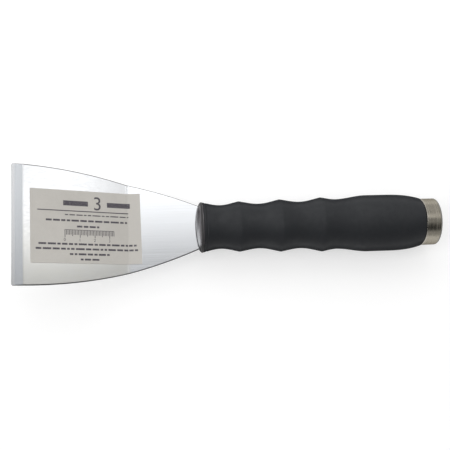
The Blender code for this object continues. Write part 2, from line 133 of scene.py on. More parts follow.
def roundedEnd(along, start, end, startRound, endRound):
    # How far a quarter round at each end takes the surface in: radius - sqrt(radius^2 - past^2)
    startPast = np.clip(startRound - (along - start), 0, startRound)
    endPast = np.clip(endRound - (end - along), 0, endRound)
    startIn = startRound - np.sqrt(np.maximum(startRound**2 - startPast**2, 0))
    endIn = endRound - np.sqrt(np.maximum(endRound**2 - endPast**2, 0))
    return startIn + endIn


def addObject(name, data):
    made = bpy.data.objects.new(name, data)
    bpy.context.scene.collection.objects.link(made)
    return made


# Edges that turn by more than this stay sharp
sharpAngles = {"bladePlate": 40, "paperLabel": 50, "labelInk": 50, "softSleeve": 45, "hardCore": 35,
               "screwFerrule": 28}


def addPiece(name, mesh, material, replaced=()):
    mesh.shade_smooth()
    mesh.set_sharp_from_angle(angle=math.radians(sharpAngles[name]))
    mesh.materials.append(material)
    piece = addObject(name, mesh)
    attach(piece, "root")
    if replaced:
        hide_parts(*replaced)
    print("scene:", name, len(mesh.polygons), "faces")


# Shader helpers. Those that are given a socket add their node to the tree that it belongs to.

def setInputs(node, inputs):
    # Inputs by name or number: a socket is linked, anything else is set on the input itself
    for key, value in inputs.items():
        if isinstance(value, bpy.types.NodeSocket):
            node.id_data.links.new(value, node.inputs[key])
        else:
            node.inputs[key].default_value = value


def newMaterial(name, look):
    # "look" adds its nodes to the tree and gives the shader's inputs
    material = bpy.data.materials.new(name)
    material.use_nodes = True
    tree = material.node_tree
    setInputs(tree.nodes["Principled BSDF"], look(tree))
    return material


def addNode(tree, kind, inputs, **settings):
    node = tree.nodes.new(kind)
    for setting, value in settings.items():
        setattr(node, setting, value)
    setInputs(node, inputs)
    return node


def objectPlace(tree):
    return addNode(tree, "ShaderNodeTexCoord", {}).outputs["Object"]


def mapped(tree, scale, turn=(0.0, 0.0, 0.0)):
    inputs = {"Vector": objectPlace(tree), "Scale": scale, "Rotation": turn}
    return addNode(tree, "ShaderNodeMapping", inputs).outputs["Vector"]


def takenApart(vector):
    return addNode(vector.id_data, "ShaderNodeSeparateXYZ", {"Vector": vector}).outputs


def noised(vector, scale=1.0, detail=2.0, roughness=0.5, distortion=0.0):
    inputs = {"Vector": vector, "Scale": scale, "Detail": detail, "Roughness": roughness,
              "Distortion": distortion}
    return addNode(vector.id_data, "ShaderNodeTexNoise", inputs).outputs["Fac"]


def ranged(value, low, high, lowOut=0.0, highOut=1.0):
    # A smooth step from lowOut at low to highOut at high
    inputs = {"Value": value, "From Min": low, "From Max": high, "To Min": lowOut, "To Max": highOut}
    node = addNode(value.id_data, "ShaderNodeMapRange", inputs, interpolation_type="SMOOTHSTEP")
    return node.outputs["Result"]


def mixed(share, first, second):
    # Numbers: first * (1 - share) + second * share
    return addNode(share.id_data, "ShaderNodeMix", {0: share, 2: first, 3: second}).outputs[0]


def blended(share, first, second):
    # The same for colours. Sockets go by number, because all kinds of mix share their names.
    inputs = {0: share}
    for number, value in ((6, first), (7, second)):
        inputs[number] = value if isinstance(value, bpy.types.NodeSocket) else (*value, 1.0)
    return addNode(share.id_data, "ShaderNodeMix", inputs, data_type="RGBA").outputs[2]


def worked(operation, first, second=0.0):
    inputs = {0: first, 1: second}
    return addNode(first.id_data, "ShaderNodeMath", inputs, operation=operation).outputs["Value"]


def plus(first, second):
    return worked("ADD", first, second)


def times(first, second):
    return worked("MULTIPLY", first, second)


def layered(values, *layers):
    # The material's colour, with each layer's named colour laid over it where the mask is
    color = values["color"]
    for mask, name in layers:
        color = blended(mask, color, values[name])
    return color


def roughened(values, rough, *patches):
    # The roughness, plus mask * the named amount for each patch
    for mask, name in patches:
        rough = plus(rough, times(mask, values[name]))
    return rough


def bumped(height, distance, strength=1.0):
    inputs = {"Height": height, "Distance": distance, "Strength": strength}
    return addNode(height.id_data, "ShaderNodeBump", inputs).outputs["Normal"]


def newGroup(name, numbers, made):
    # A group that takes a Vector and the numbers named, and puts out one value
    tree = bpy.data.node_groups.new(name, "ShaderNodeTree")
    tree.interface.new_socket("Vector", in_out="INPUT", socket_type="NodeSocketVector")
    for label in numbers:
        tree.interface.new_socket(label, in_out="INPUT", socket_type="NodeSocketFloat")
    tree.interface.new_socket(made, in_out="OUTPUT", socket_type="NodeSocketFloat")
    given = addNode(tree, "NodeGroupInput", {}).outputs
    return tree, given, addNode(tree, "NodeGroupOutput", {}).inputs[made]


def useGroup(group, *inputs):
    # The first of the inputs is the vector
    numbered = dict(enumerate(inputs))
    return addNode(inputs[0].id_data, "ShaderNodeGroup", numbered, node_tree=group).outputs[0]


# Effects that the materials share

effects = {
    "lineDetail": (3.0, 0.65),  # the noise's detail and roughness
    "bandScale": 0.17,
    "patchDetail": (4.0, 0.6),
    "smallPatches": (7.3, 0.35),  # their scale and share, against the large ones
    "patchReach": (0.45, 0.95),
    "cellShare": 0.6,
    "grainDetail": 3.0,
}


def makeToolMarks():
    # Fine parallel lines of uneven depth, as grinding leaves: a fine noise plus Fade * (a broad
    # noise - 1/2). The vector comes already stretched along the lines.
    tree, given, lines = newGroup("toolMarks", ["Fade"], "Lines")
    fine = noised(given["Vector"], 1.0, *effects["lineDetail"])
    bands = noised(given["Vector"], effects["bandScale"], 1.0)
    spread = times(worked("SUBTRACT", bands, 0.5), given["Fade"])
    tree.links.new(plus(fine, spread), lines)
    return tree


def makeHandling():
    # Soft patches that hands and dust leave: a large and a small noise, added, with only their
    # higher places kept, times Amount
    tree, given, mask = newGroup("handling", ["Scale", "Amount"], "Mask")
    smallScale, smallShare = effects["smallPatches"]
    large = noised(given["Vector"], given["Scale"], *effects["patchDetail"])
    small = noised(given["Vector"], times(given["Scale"], smallScale))
    patches = ranged(plus(large, times(small, smallShare)), *effects["patchReach"])
    tree.links.new(times(patches, given["Amount"]), mask)
    return tree


def makePitting():
    # A moulded surface: rounded cells broken up by a finer noise
    tree, given, height = newGroup("pitting", ["Scale"], "Height")
    inputs = {"Vector": given["Vector"], "Scale": given["Scale"]}
    cells = addNode(tree, "ShaderNodeTexVoronoi", inputs, feature="SMOOTH_F1").outputs["Distance"]
    grain = noised(given["Vector"], given["Scale"], effects["grainDetail"])
    tree.links.new(plus(times(cells, effects["cellShare"]), grain), height)
    return tree


toolMarks = makeToolMarks()
handling = makeHandling()
pitting = makePitting()
print("scene: shared effects made")


# Blade

bladeShape = {
    "thickness": 0.0018,
    "frontLength": 0.0766,  # from the bend line to the working edge
    "bendSetback": 0.0487,  # from the bend line to the flare's rim
    "bendRadius": 0.005,
    "bendAngle": math.radians(23.3),
    "edgeStraight": 0.004,
    "cornerRadius": 0.001,
    "edgeThickness": 0.0004,
    "honeLength": 0.0022,
    "honeThickness": 0.0008,
    "bevelLength": 0.0073,
    "shoulderWidth": 0.0273,
    "shoulderDepth": 0.0003,
    "tangWidth": 0.014,
    "tangLength": 0.094,
    "tangEndRadius": 0.003,
    "edgeRound": 0.0007,
    "columns": 26,
    # The longest step between the mesh's rings, by stretch. Close rings keep a crease sharp.
    "steps": {"tangEnd": 0.0003, "tang": 0.004, "rear": 0.004, "bend": 0.0001, "front": 0.003,
              "bevel": 0.002, "hone": 0.001, "corner": 0.0001, "crease": 0.00006},
}

sheetEdge = {
    "roundPoints": 4,  # on each quarter round
    "roundShare": 0.45,  # of the thickness, at most, for a side's round
    "innerShare": 0.998,  # the faces' outer columns keep the sides' shading off them
    "markSpread": 2.4,  # how far up its round a side is marked, and so how far the blade's painted side shade reaches
}

bladeSteel = {
    "color": (0.733, 0.75, 0.775),
    "frontColor": (0.74, 0.75, 0.765),  # ahead of the bend: painted reflection tint, less blue than the steel behind it
    "bendSoftness": 0.003,
    "warmColor": (0.746, 0.742, 0.705),  # painted reflection: the front stretch made warmer towards -Y
    "warmReach": (-0.025, 0.02, 1.0, 0.0),
    "stainColor": (0.725, 0.732, 0.742),
    "stainStretch": (1.0, 1.6, 1.0),
    "stains": (22.0, 0.5),  # scale and amount
    "stainRoughness": 0.04,  # this and the next ones are added
    "bevelColor": (0.56, 0.58, 0.605),
    "bevelRoughness": 0.09,
    "honeColor": (0.63, 0.64, 0.655),
    "groundSoftness": 0.0001,
    "shearedColor": (0.07, 0.07, 0.073),  # painted shade: near black on the plate's sides and up their rounds
    "shearedRoughness": 0.3,
    "roughness": (0.3, 0.75, 0.11, 0.17),  # the marks' low and high places, and the roughness there
    "faceMarks": ((30.0, 5200.0, 5200.0), 0.8),  # closeness along each axis, and fade
    "bevelMarks": ((4200.0, 40.0, 40.0), 0.5),  # these run across the tool
    "markDepth": 0.0000015,
}

bendLine = rimPlace - bladeShape["bendSetback"]
shoulderPlace = -bladeShape["bendSetback"] - bladeShape["shoulderDepth"]  # from the bend line
tangEndPlace = shoulderPlace - bladeShape["tangLength"]


def steelPlace(forward, lift):
    # X and Z on the bent steel. Its middle is a straight run, an arc, in which a point has turned
    # by its way / radius, and another straight run. "lift" is the way out along the normal.
    angle = bladeShape["bendAngle"]
    radius = bladeShape["bendRadius"] + bladeShape["thickness"] / 2
    halfArc = radius * angle / 2
    turn = np.clip((forward + halfArc) / radius, 0, angle)
    behind = np.minimum(forward + halfArc, 0)
    ahead = np.maximum(forward - halfArc, 0)
    reach = radius * (np.sin(turn) - math.tan(angle / 2)) + behind + ahead * math.cos(angle)
    rise = radius * (1 - np.cos(turn)) + ahead * math.sin(angle)
    return bendLine - reach + lift * np.sin(turn), axisHeight + rise + lift * np.cos(turn)


def bladeHalfWidth(forward):
    # Square at the edge, then one long arc to the shoulder, then the narrow tang with a rounded
    # end. The arc's radius is (run^2 + drop^2) / (2 drop).
    shape = bladeShape
    half = (bladeHigh.y - bladeLow.y) / 2
    start = shape["frontLength"] - shape["edgeStraight"]
    run, drop = start - shoulderPlace, half - shape["shoulderWidth"] / 2
    radius = (run * run + drop * drop) / (2 * drop)
    arc = half - radius + np.sqrt(radius**2 - np.clip(start - forward, 0, run) ** 2)
    corner = shape["cornerRadius"]
    past = np.clip(forward - (shape["frontLength"] - corner), 0, corner)
    front = arc - corner + np.sqrt(corner**2 - past**2)
    end = shape["tangEndRadius"]
    left = np.clip(tangEndPlace + end - forward, 0, end)
    tang = shape["tangWidth"] / 2 - end + np.sqrt(end**2 - left**2)
    return np.where(forward < shoulderPlace, tang, front)


def bladeTop(forward):
    # Full thickness, falling over the bevel and a little slower over the honed strip
    shape = bladeShape
    full, hone, edge = shape["thickness"], shape["honeThickness"], shape["edgeThickness"]
    length = shape["frontLength"]
    places = [length - shape["bevelLength"], length - shape["honeLength"], length]
    return np.interp(forward, places, [full, hone, edge]) - full / 2


def bladeStations():
    # Places of the rings, from the tang's end to the working edge
    shape, steps = bladeShape, bladeShape["steps"]
    length, crease = shape["frontLength"], steps["crease"]
    halfBend = (shape["bendRadius"] + shape["thickness"] / 2) * shape["bendAngle"] / 2
    bevel, hone = length - shape["bevelLength"], length - shape["honeLength"]
    marks = [
        tangEndPlace + crease * hairShare, tangEndPlace + shape["tangEndRadius"],
        shoulderPlace - crease, shoulderPlace + crease, -halfBend, halfBend, bevel - crease,
        bevel + crease, hone - crease, hone + crease, length - shape["cornerRadius"],
        length - crease * hairShare,
    ]
    stretches = "tangEnd tang crease rear bend front crease bevel crease hone corner".split()
    return smoothSteps(marks, [steps[stretch] for stretch in stretches])


def sheetRings(forward, halfWidth, low, high, roundness, columns, placed=None):
    # Cross sections of a bent sheet: top face, rounded side, bottom face, rounded side. "placed"
    # moves the flat sheet's points before it is bent. The second result marks the sheet's sides.
    count = sheetEdge["roundPoints"]
    quarter = np.linspace(0, np.pi / 2, count)
    turns = np.concatenate([quarter + np.pi / 2 * side for side in range(4)])
    corners = np.repeat([1.0, -1.0, -1.0, 1.0], count)
    inner = np.linspace(1, -1, columns)
    inner[[0, -1]] = sheetEdge["innerShare"], -sheetEdge["innerShare"]
    faces = np.repeat([count, 3 * count], columns)  # behind the first and the third corner
    share = np.insert(corners, faces, np.concatenate([inner, -inner]))
    cosine = np.insert(np.cos(turns), faces, 0.0)
    rise = np.insert(np.sin(turns), faces, np.repeat([1.0, -1.0], columns))
    top = np.arange(len(share)) < len(share) // 2
    curve = np.minimum(roundness, (high - low) * sheetEdge["roundShare"])[:, None]
    across = share * (halfWidth[:, None] - curve) + curve * cosine
    lift = np.where(top, high[:, None] - curve * (1 - rise), low[:, None] + curve * (1 + rise))
    ahead = np.broadcast_to(forward[:, None], across.shape)
    if placed:
        ahead, across = placed(ahead, across)
    x, z = steelPlace(ahead, lift)
    return np.stack([x, across, z], axis=-1), np.clip(sheetEdge["markSpread"] * np.abs(cosine), 0, 1)


def makeBlade(material):
    # The plate: its cross section at every station, bent along the steel's middle line
    shape = bladeShape
    forward = bladeStations()
    low = np.full(len(forward), -shape["thickness"] / 2)
    rings, sides = sheetRings(forward, bladeHalfWidth(forward), low, bladeTop(forward),
                              shape["edgeRound"], shape["columns"])
    addPiece("bladePlate", gridMesh("bladePlate", rings, marks=sides), material, ["blade"])


def steelLook(tree):
    # Ground steel: long fine marks, cross marks on the bevel, faint stains, painted reflection tints ahead
    # of the bend and towards -Y, and painted shade on the plate's sides
    values = bladeSteel
    place = takenApart(objectPlace(tree))
    faceLines, bevelLines = (useGroup(toolMarks, mapped(tree, closeness), fade)
                             for closeness, fade in (values["faceMarks"], values["bevelMarks"]))
    onBevel, onHone = (
        ranged(place["X"], end, end + values["groundSoftness"], 1.0, 0.0)
        for end in (bladeLow.x + bladeShape[length] * math.cos(bladeShape["bendAngle"])
                    for length in ("bevelLength", "honeLength")))
    lines = mixed(onBevel, faceLines, bevelLines)
    # Painted shade: the plate's sides and their rounds, marked by ringMark, are made near black
    onSides = addNode(tree, "ShaderNodeAttribute", {}, attribute_name="ringMark").outputs["Fac"]
    stains = useGroup(handling, mapped(tree, values["stainStretch"]), *values["stains"])
    # Painted reflection tint: the steel ahead of the bend gets its own colour
    soft = values["bendSoftness"]
    onFront = ranged(place["X"], bendLine - soft, bendLine + soft, 1.0, 0.0)
    # Painted reflection: warmer towards -Y on the front stretch
    lowerReflection = times(onFront, ranged(place["Y"], *values["warmReach"]))
    color = layered(values, (onFront, "frontColor"), (lowerReflection, "warmColor"), (stains, "stainColor"),
                    (onBevel, "bevelColor"), (onHone, "honeColor"), (onSides, "shearedColor"))
    rough = roughened(values, ranged(lines, *values["roughness"]), (stains, "stainRoughness"),
                      (onBevel, "bevelRoughness"), (onSides, "shearedRoughness"))
    normal = bumped(lines, values["markDepth"])
    return {"Base Color": color, "Roughness": rough, "Normal": normal, "Metallic": 1.0}


steel = newMaterial("groundSteel", steelLook)
makeBlade(steel)


# Label

labelShape = {
    "setback": 0.01125,  # from the working edge
    "length": 0.074,
    "width": 0.047,
    "middle": -0.0002,
    "turn": math.radians(-0.5),
    "gap": 0.0001,  # the adhesive
    "thickness": 0.0002,
    "edgeRound": 0.00008,
    "wrinkle": 0.00005,  # height of the paper's small waves at the crease
    "wrinkleReach": 0.004,
    "waves": (900.0, 2.0, 310.0),  # rate across, and the sway's size and rate
    "fineReach": 0.008,  # of the close rings, from the bend
    "steps": (0.002, 0.0004, 0.001),
    "columns": 60,
}

labelPaper = {
    "color": (0.611, 0.588, 0.548),
    "fibreColor": (0.565, 0.542, 0.501),
    "fibreReach": (0.35, 0.7, 0.0, 0.5),
    "fibreScale": (900.0, 2100.0, 900.0),
    "fibreNoise": (1.0, 4.0, 0.5, 0.6),  # scale, detail, roughness and distortion
    "fibreDepth": (0.00001, 0.6),  # and the strength of the bump
    "dirtColor": (0.53, 0.508, 0.468),
    "dirt": (35.0, 0.6),  # scale and amount
    "handledColor": (0.515, 0.494, 0.464),  # painted shade: the paper behind the bend, towards the handle, made darker
    "handledShare": 0.6,
    "handledReach": 0.0015,  # to both sides of the bend
    "roughness": (0.3, 0.7, 0.55, 0.67),  # over the fibres
}

# Places on the label are measured back from its front end and up from its middle line
labelPrint = {
    "color": (0.07, 0.062, 0.078),
    "height": 0.00003,  # the ink's thickness
    "lift": 0.000006,  # clear of the paper
    "sections": 9,  # along each plate, so that it follows the bend
    "ruleWidth": 0.00028,
    "heavyRule": (0.0044, 0.0098, 0.0614, 0.0006),  # start, bottom, length, height
    "bars": ((0.0212, 0.0135, 0.0165, 0.0032), (0.0507, 0.0135, 0.0165, 0.0032)),
    "sizeNumeral": (0.0442, 0.0151, 0.0125),  # middle along, middle up, size
    "rows": (  # start, end, middle up, height
        (0.0222, 0.0658, 0.0076, 0.0007), (0.0098, 0.0645, 0.0039, 0.0012),
        (0.03, 0.045, 0.0002, 0.0012), (0.0049, 0.0707, -0.0112, 0.0012),
        (0.0031, 0.0716, -0.0143, 0.0012), (0.0249, 0.0516, -0.0176, 0.0012),
        (0.032, 0.0445, -0.0209, 0.0012),
    ),
    "shortDash": 0.0016,
    "longDash": 0.0058,
    "dashGap": 0.0009,
    "scaleStart": 0.0218,
    "scaleTop": -0.0022,
    "tick": 0.001,
    "scaleTicks": 33,
    "tickWidth": 0.00042,
    "tickDrops": (0.0048, 0.0039, 0.0031),  # each tenth, each fifth and each other tick
    "scaleNumeralSize": 0.0028,
    "scaleNumeralDrop": 0.55,  # below the ticks, by its size
    "numeralCurve": 4,
    "mergeReach": 0.000001,
    "wearScale": (2400.0, 2400.0, 2400.0),
    "wearDetail": 3.0,
    "wearReach": (0.5, 0.75),
    "wornShare": 0.4,  # of the paper, where the ink is worn
    "roughness": (0.3, 0.7, 0.42, 0.6),  # over the wear
    "seed": 11,
}

labelFront = bladeShape["frontLength"] - labelShape["setback"]  # from the bend line


def labelWaves(forward, across):
    # Small waves of the paper: height * exp(-(forward / reach)^2) * (1/2 + 1/2 sin), with another
    # sine added to the angle, which makes them uneven
    shape = labelShape
    rate, sway, swayRate = shape["waves"]
    near = np.exp(-((forward / shape["wrinkleReach"]) ** 2))
    return shape["wrinkle"] * near * (0.5 + 0.5 * np.sin(across * rate + sway * np.sin(across * swayRate)))


def turnedLabel(forward, across):
    # The sticker sits a little askew: its flat points turn about its middle
    shape = labelShape
    middle = labelFront - shape["length"] / 2
    ahead = forward - middle
    cosine, sine = math.cos(shape["turn"]), math.sin(shape["turn"])
    return middle + ahead * cosine - across * sine, shape["middle"] + ahead * sine + across * cosine


def makeLabel(material):
    # The flat sheet, turned, bent with the steel, and lifted by the waves. They lie at the bend,
    # where the paper leans by half the bend's angle.
    shape = labelShape
    marks = [labelFront, shape["fineReach"], -shape["fineReach"], labelFront - shape["length"]]
    forward = smoothSteps(marks, shape["steps"])
    half = np.full(len(forward), shape["width"] / 2)
    low = np.full(len(forward), bladeShape["thickness"] / 2 + shape["gap"])
    rings = sheetRings(forward, half, low, low + shape["thickness"], shape["edgeRound"], shape["columns"],
                       turnedLabel)[0]
    ripple = labelWaves(forward[:, None], rings[..., 1])
    lean = bladeShape["bendAngle"] / 2
    rings[..., 0] += ripple * math.sin(lean)
    rings[..., 2] += ripple * math.cos(lean)
    addPiece("paperLabel", gridMesh("paperLabel", rings), material, ["blade_label"])


def onLabel(left, up, raised):
    # From the flat label to the tool. "raised" is 0 at the ink's foot and 1 at its face.
    forward, across = turnedLabel(labelFront - left, up)
    paper = bladeShape["thickness"] / 2 + labelShape["gap"] + labelShape["thickness"]
    ink = labelPrint["height"] * raised + labelPrint["lift"]
    x, z = steelPlace(forward, paper + labelWaves(forward, across) + ink)
    return np.stack([x, across, z], axis=-1)


def printPlates(plates):
    # Plates of ink from (left, bottom, length, height) rows, with four corners at each section:
    # bottom and top on the paper, then top and bottom on the ink's face
    left, bottom, length, height = np.array(plates).T[:, :, None]
    left = left + length * np.linspace(0, 1, labelPrint["sections"])
    bottom, top = np.broadcast_to(bottom, left.shape), np.broadcast_to(bottom + height, left.shape)
    corners = np.stack([bottom, top, top, bottom], axis=-1)
    return onLabel(left[..., None], corners, np.array([0.0, 0.0, 1.0, 1.0]))


def printedRows(random):
    # Rows of plain dashes of uneven length
    short, long, gap = (labelPrint[name] for name in ("shortDash", "longDash", "dashGap"))
    plates = []
    for at, end, up, thick in labelPrint["rows"]:
        while at < end - short / 2:
            dash = min(random.uniform(short, long), end - at)
            plates.append((at, up - thick / 2, dash, thick))
            at += dash + gap
    return plates


def printedScale():
    # A plain line with a tick for each millimetre, longer at 5 and at 10
    start, top, thin = labelPrint["scaleStart"], labelPrint["scaleTop"], labelPrint["ruleWidth"]
    count, tick = labelPrint["scaleTicks"], labelPrint["tick"]
    plates = [(start, top, count * tick + thin, thin)]
    for number in range(count + 1):
        drop = labelPrint["tickDrops"][0 if number % 10 == 0 else 1 if number % 5 == 0 else 2]
        plates.append((start + number * tick, top - drop, labelPrint["tickWidth"], drop))
    return plates


def scaleNumerals():
    # A numeral under every tenth tick: text, middle along, middle up, size
    size, every = labelPrint["scaleNumeralSize"], 10
    under = labelPrint["scaleTop"] - labelPrint["tickDrops"][0] - size * labelPrint["scaleNumeralDrop"]
    return [(str(number), labelPrint["scaleStart"] + number * every * labelPrint["tick"], under, size)
            for number in range(labelPrint["scaleTicks"] // every + 1)]


def numeralMesh(text, left, up, size):
    # A numeral made a mesh, laid on the label with its middle at (left, up)
    curve = bpy.data.curves.new("numeral", "FONT")
    curve.body = text
    curve.size = size
    curve.extrude = 0.5  # the outline's foot lies at -1/2 and its face at 1/2
    curve.resolution_u = labelPrint["numeralCurve"]
    curve.align_x, curve.align_y = "CENTER", "CENTER"
    drawn = addObject("numeral", curve)
    mesh = bpy.data.meshes.new_from_object(drawn.evaluated_get(bpy.context.evaluated_depsgraph_get()))
    bpy.data.objects.remove(drawn, do_unlink=True)
    places = np.empty(len(mesh.vertices) * 3, np.float32)
    mesh.vertices.foreach_get("co", places)
    along, across, height = places.reshape(-1, 3).T
    placed = onLabel(left + along, up + across, height + curve.extrude)
    mesh.vertices.foreach_set("co", placed.astype(np.float32).ravel())
    return mesh


def makePrint(material):
    # All the plates of ink and the numerals, joined into one mesh
    random = np.random.default_rng(labelPrint["seed"])
    plates = [labelPrint["heavyRule"], *labelPrint["bars"], *printedRows(random), *printedScale()]
    joined = bmesh.new()
    joined.from_mesh(gridMesh("plates", printPlates(plates)))
    for numeral in [("3", *labelPrint["sizeNumeral"]), *scaleNumerals()]:
        joined.from_mesh(numeralMesh(*numeral))
    bmesh.ops.remove_doubles(joined, verts=joined.verts, dist=labelPrint["mergeReach"])
    bmesh.ops.recalc_face_normals(joined, faces=joined.faces)
    mesh = bpy.data.meshes.new("labelInk")
    joined.to_mesh(mesh)
    joined.free()
    addPiece("labelInk", mesh, material)


def paperLook(tree):
    # Matt paper with short fibres, patches of dirt, and painted shade on the part behind the bend
    values = labelPaper
    place = objectPlace(tree)
    fibres = noised(mapped(tree, values["fibreScale"]), *values["fibreNoise"])
    dirt = useGroup(handling, place, *values["dirt"])
    # Painted shade: the label is darker behind the bend
    reach = values["handledReach"]
    rearShade = ranged(takenApart(place)["X"], bendLine - reach, bendLine + reach, 0.0, values["handledShare"])
    fibrous = ranged(fibres, *values["fibreReach"])
    color = layered(values, (fibrous, "fibreColor"), (rearShade, "handledColor"), (dirt, "dirtColor"))
    rough = ranged(fibres, *values["roughness"])
    return {"Base Color": color, "Roughness": rough, "Normal": bumped(fibres, *values["fibreDepth"])}


def inkLook(tree):
    # Printing ink, slightly worn through
    values = labelPrint
    wear = noised(mapped(tree, values["wearScale"]), 1.0, values["wearDetail"])
    shown = values["wornShare"]
    faded = [(1 - shown) * ink + shown * paper for ink, paper in zip(values["color"], labelPaper["color"])]
    color = blended(ranged(wear, *values["wearReach"]), values["color"], faded)
    return {"Base Color": color, "Roughness": ranged(wear, *values["roughness"])}


makeLabel(newMaterial("labelPaper", paperLook))
makePrint(newMaterial("labelInk", inkLook))


# Handle

ferruleShape = {
    "band": 0.011,
    "rimRound": 0.0014,
    "rimRings": 11,
    "chamfer": 0.0003,
    "stemDiameter": 0.024,
    "stemLength": 0.0222,
    "anchorDiameter": 0.013,
    "anchorLength": 0.012,
    "majorDiameter": 0.01905,
    "minorDiameter": 0.01397,
    "pitch": 0.00508,
    "flank": math.radians(14.5),
    "rootShare": 0.37,  # the flat root's part of the pitch
    "socketLength": 0.028,
    "threadLength": 0.0254,
    "threadRings": 180,
    "threadSetback": 0.00002,  # of its first ring from the end face
    "mouthChamfer": 0.0008,
    "creaseGap": 0.0001,  # to the end face's own nearest rings
    "step": 0.0005,
    "points": 180,
}

gripShape = {
    "flareWidth": 0.0337,
    "flareDepth": 0.0292,
    "ridgeWidth": 0.0339,
    "ridgeDepth": 0.0298,
    "endDiameter": 0.0326,
    "drop": 0.0023,  # of a finger hollow, at the sides
    "lastDrop": 0.0018,
    "depthShare": 0.6,  # of the drop, at the top and bottom
    "ridgeShares": (0.168, 0.353, 0.541),
    "swellShares": (0.747, 0.84),
    "hollowShare": 0.5,
    "lastHollowShare": 0.35,
    "sharpness": 0.6,  # 0 is a round wave, 1 a sharp crest
    "shoulderPower": 2.6,
    "lipRound": 0.00035,
    "lipGap": 0.0001,  # to the core's land
    "linePlace": 0.0026,  # a fine line behind the lip
    "lineHalfWidth": 0.0003,
    "lineDepth": 0.0003,
    "lineReach": 2.7,  # of its close rings, in half widths
    "endRound": 0.0007,
    "steps": (0.00006, 0.0002, 0.00008, 0.0007, 0.00008),  # lip, land, line, ridges, end
    "innerStep": 0.003,
    "points": 160,
}

coreShape = {
    "rimLand": 0.0005,
    "landRound": 0.0002,
    "landStart": 0.0001,
    "landSteps": (0.0001, 0.00005),
    "mouthWidth": 0.0026,  # the face dips in round the blade
    "mouthDepth": 0.0021,
    "mouthShare": 0.2,  # of the face, from the blade out, with even rings
    "mouthRings": 20,
    "domeRings": 23,  # these crowd towards the rim
    "cornerPoints": 3,  # points on each half end of the slot
    "spigotWidth": 0.0292,
    "spigotDepth": 0.0243,
    "spigotLength": 0.002,
    "neckWidth": 0.0232,
    "neckDepth": 0.0204,
    "neckTaper": 0.004,
    "cupDiameter": 0.0304,
    "cupLength": 0.038,
    "cupTaper": 0.012,
    "hiddenStep": 0.003,
    "points": 160,
}

rimHalves = gripShape["flareWidth"] / 2, gripShape["flareDepth"] / 2


def crestLine(along, flare, ridge, swell):
    # Straight over the ridges to the swell, level over it, then share^power in to the ferrule
    shape = gripShape
    first = gripLength * shape["ridgeShares"][0]
    full, turn = (gripLength * share for share in shape["swellShares"])
    line = np.interp(along, [0, first, full, turn], [flare, ridge, swell, swell])
    past = np.clip((along - turn) / (gripLength - turn), 0, 1)
    return line - (swell - shape["endDiameter"]) * past ** shape["shoulderPower"]


def scallopDrop(along):
    # Each finger hollow falls from its ridges as drop * (1 - s t^2 - (1 - s) (1 - cos pi t) / 2),
    # where t runs from 0 in the hollow to 1 at a ridge and s is the ridge's sharpness
    shape = gripShape
    crests = [0.0, *(gripLength * share for share in (*shape["ridgeShares"], shape["swellShares"][0]))]
    total = np.zeros_like(along)
    for number, (start, end) in enumerate(zip(crests[:-1], crests[1:])):
        last = number == len(crests) - 2
        drop = shape["lastDrop"] if last else shape["drop"]
        lowest = start + (end - start) * (shape["lastHollowShare"] if last else shape["hollowShare"])
        side = np.where(along < lowest, start, end)
        share = (along - lowest) / (side - lowest)
        sharp = np.where((along > lowest) & last, 0.0, shape["sharpness"])
        wave = (1 - np.cos(np.pi * share)) / 2
        fall = drop * (1 - sharp * share**2 - (1 - sharp) * wave)
        total = np.where((along >= start) & (along < end), fall, total)
    return total


def gripHalves(along):
    # Half width and half depth of the sleeve: the line over the ridges, less the finger hollows
    # and less depth * exp(-((along - place) / half width)^2) for the fine line behind the lip
    shape = gripShape
    drop = scallopDrop(along)
    width = crestLine(along, shape["flareWidth"], shape["ridgeWidth"], gripHigh.y - gripLow.y)
    depth = crestLine(along, shape["flareDepth"], shape["ridgeDepth"], gripHigh.z - gripLow.z)
    away = (along - shape["linePlace"]) / shape["lineHalfWidth"]
    line = shape["lineDepth"] * np.exp(-(away**2))
    return width / 2 - drop - line, depth / 2 - drop * shape["depthShare"] - line


def coreHalves(along, grown):
    # Half width and half depth of the hidden core, in straight lines over spigot, neck and cup
    shape = coreShape
    spigotEnd = shape["rimLand"] + shape["spigotLength"]
    cupStart = gripLength - shape["cupLength"]
    places = [spigotEnd, spigotEnd + shape["neckTaper"], cupStart - shape["cupTaper"], cupStart]
    widths = [shape["spigotWidth"], shape["neckWidth"], shape["neckWidth"], shape["cupDiameter"]]
    depths = [shape["spigotDepth"], shape["neckDepth"], shape["neckDepth"], shape["cupDiameter"]]
    return np.interp(along, places, widths) / 2 + grown, np.interp(along, places, depths) / 2 + grown


def makeGrip(material):
    # The sleeve: its ridged outside from lip to butt, then back along the core
    shape = gripShape
    start = coreShape["rimLand"] + shape["lipGap"]
    reach = shape["lineReach"] * shape["lineHalfWidth"]
    marks = [start, start + shape["lipRound"], shape["linePlace"] - reach, shape["linePlace"] + reach,
             gripLength - shape["endRound"], gripLength]
    outer = smoothSteps(marks, shape["steps"])
    halfWidth, halfDepth = gripHalves(outer)
    cut = roundedEnd(outer, start, gripLength, shape["lipRound"], shape["endRound"])
    outside = ovalRings(outer, halfWidth - cut, halfDepth - cut, shape["points"])
    inner = smoothSteps([gripLength, start], [shape["innerStep"]])
    inside = ovalRings(inner, *coreHalves(inner, fitGap), shape["points"])
    mesh = gridMesh("softSleeve", np.concatenate([outside, inside]), endless=True)
    addPiece("softSleeve", mesh, material, ["soft_grip"])


def slotOutline(halfWidth, halfDepth):
    # A slot's outline in quarters: up its end to the corner, then in along its side. The second
    # and the fourth quarter run the other way.
    count = coreShape["points"] // 4
    quarter = np.arange(count) / count
    cornerShare = coreShape["cornerPoints"] / count

    def corner(share):
        across = halfWidth * np.clip((1 - share) / (1 - cornerShare), 0, 1)
        return across, halfDepth * np.clip(share / cornerShare, 0, 1)

    across, up = corner(quarter)
    backAcross, backUp = corner(1 - quarter)
    y = np.concatenate([across, -backAcross, -across, backAcross])
    return y, np.concatenate([up, backUp, -up, -backUp])


